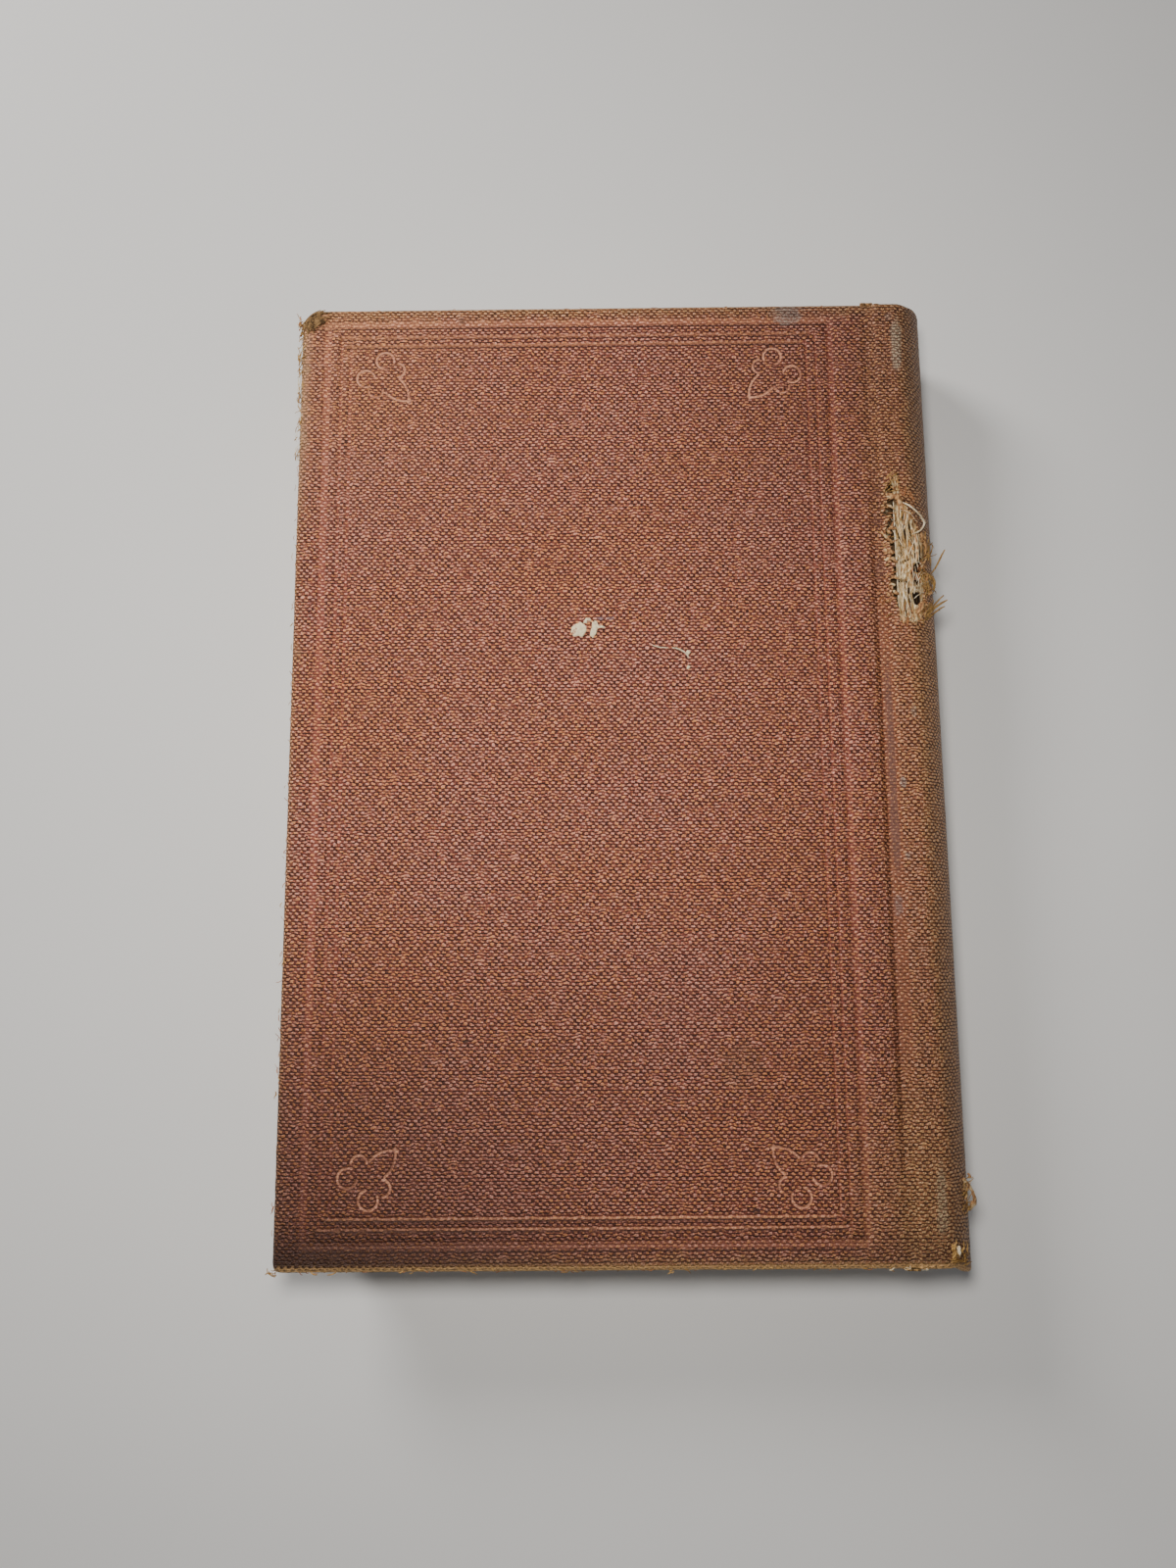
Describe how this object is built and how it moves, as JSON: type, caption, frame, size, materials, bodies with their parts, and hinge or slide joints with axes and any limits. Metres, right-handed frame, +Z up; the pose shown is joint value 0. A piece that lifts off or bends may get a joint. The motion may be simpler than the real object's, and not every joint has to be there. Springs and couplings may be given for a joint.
{
  "type": "hardback book",
  "caption": "Old cloth-covered hardback book lying on its front cover, with hinged covers, a rounded spine torn at one joint, and a blind-stamped frame with corner ornaments.",
  "frame": {"origin": "middle of the book's box, on the surface that the front cover lies on", "axes": "+Y towards the head of the book, +X towards the spine, +Z up, out of the back cover"},
  "size_m": [0.122, 0.178, 0.022],
  "materials": {
    "book_cloth": "matt, grained",
    "millboard": "matt",
    "leaves": "matt",
    "endpaper": "matt",
    "lining_paper": "matt",
    "inlay_card": "matt, fibrous",
    "mull": "matt, open weave",
    "sewing_cord": "matt",
    "sewing_thread": "matt"
  },
  "bodies": {
    "book_block": {"text_block": "leaves", "back_flyleaf": "endpaper", "front_flyleaf": "endpaper", "head_cord": "sewing_cord", "middle_cord": "sewing_cord", "tail_cord": "sewing_cord", "head_thread": "sewing_thread", "tail_thread": "sewing_thread", "spine_mull": "mull", "spine_lining": "lining_paper", "spine_inlay": "inlay_card", "spine_cloth": "book_cloth"},
    "back_cover": {"back_board": "millboard", "back_mull_flap": "mull", "back_pastedown": "endpaper", "back_cloth": "book_cloth"},
    "front_cover": {"front_board": "millboard", "front_mull_flap": "mull", "front_pastedown": "endpaper", "front_cloth": "book_cloth"}
  },
  "joints": [
    {"name": "back_joint", "type": "hinge", "parent": "book_block", "child": "back_cover", "pos_m": [0.049, 0, 0.0223], "axis": [0, 1, 0], "range_deg": [0, 180]},
    {"name": "front_joint", "type": "hinge", "parent": "book_block", "child": "front_cover", "pos_m": [0.049, 0, -0.0003], "axis": [0, -1, 0], "range_deg": [0, 180]}
  ]
}
